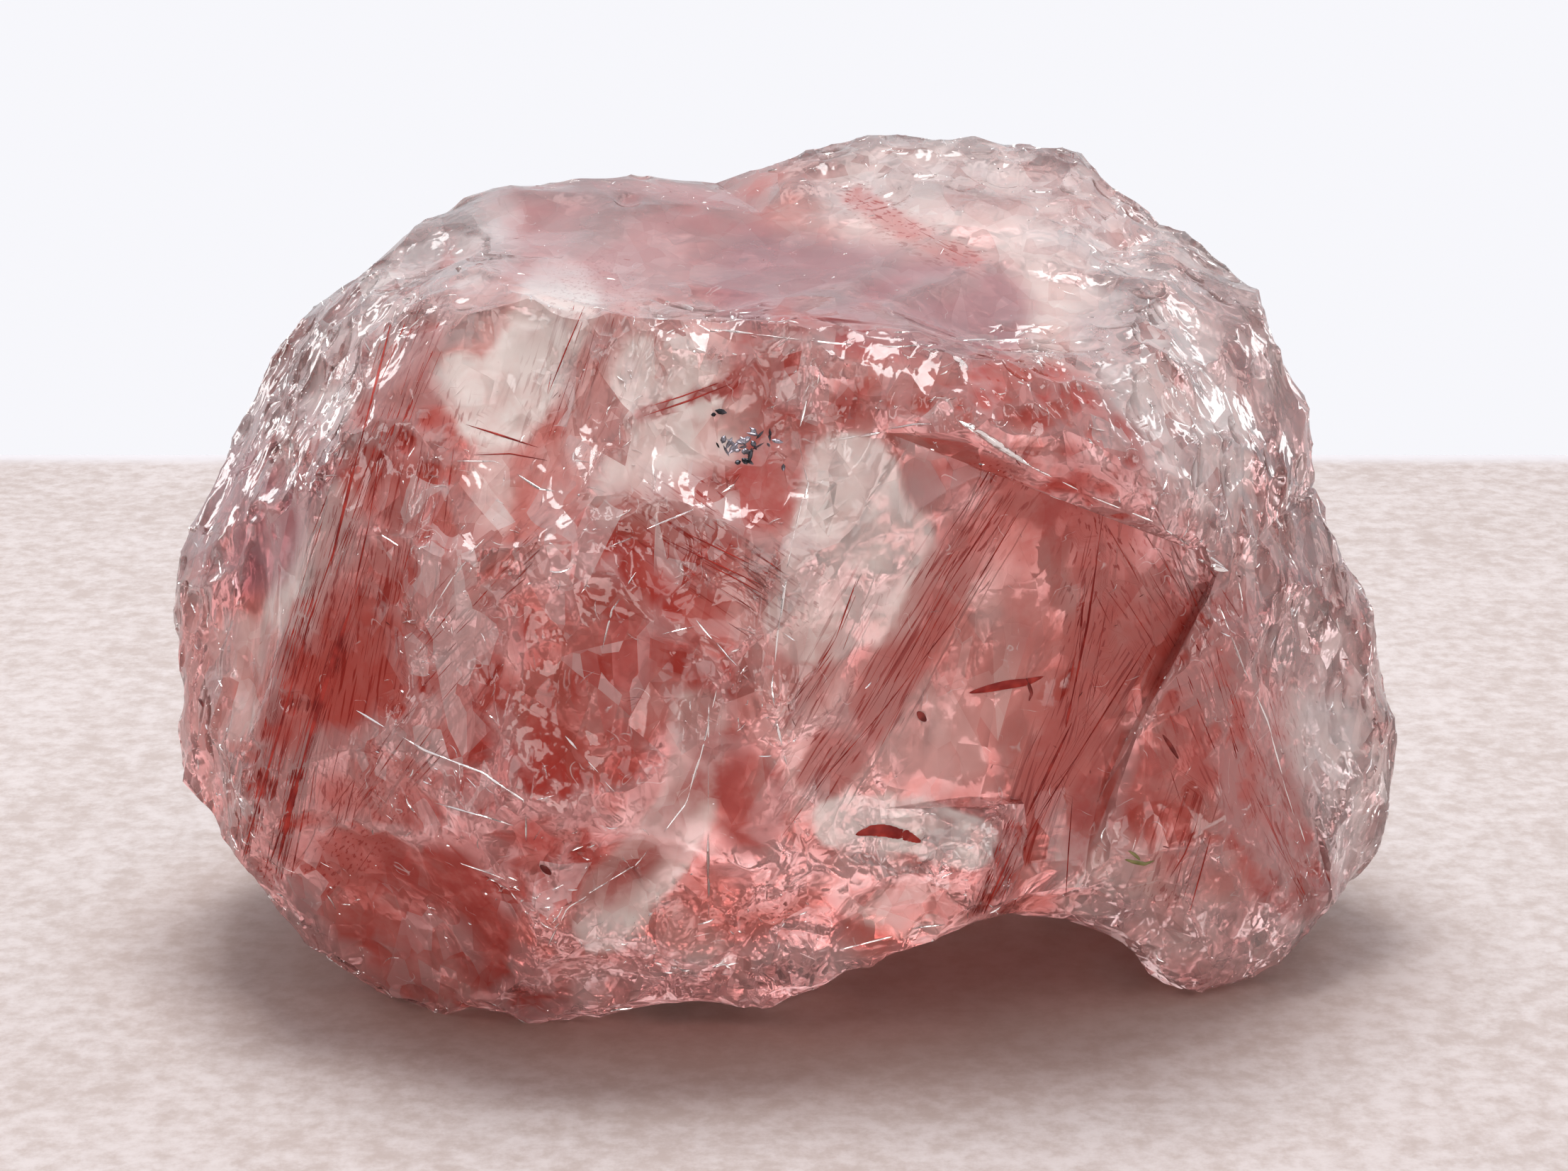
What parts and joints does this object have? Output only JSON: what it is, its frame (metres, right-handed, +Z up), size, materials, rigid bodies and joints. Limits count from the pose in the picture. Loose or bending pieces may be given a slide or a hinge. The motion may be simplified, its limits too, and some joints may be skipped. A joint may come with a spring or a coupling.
{
  "type": "rough strawberry quartz",
  "caption": "Rough lump of translucent pink quartz with red needle inclusions and shell-shaped fracture faces, resting on an arched underside.",
  "frame": {"origin": "bottom centre of the box around the stone, on the surface that it rests on", "axes": "+Z up, +X along the stone's length, -Y out of its front, the face with the overhung bowl and the arch below it"},
  "size_m": [0.0522, 0.0334, 0.0322],
  "materials": {
    "quartz": "glossy broken crystal, clear to milky, with red needles and veils inside"
  },
  "bodies": {
    "root": {"quartz": "quartz"}
  },
  "joints": []
}
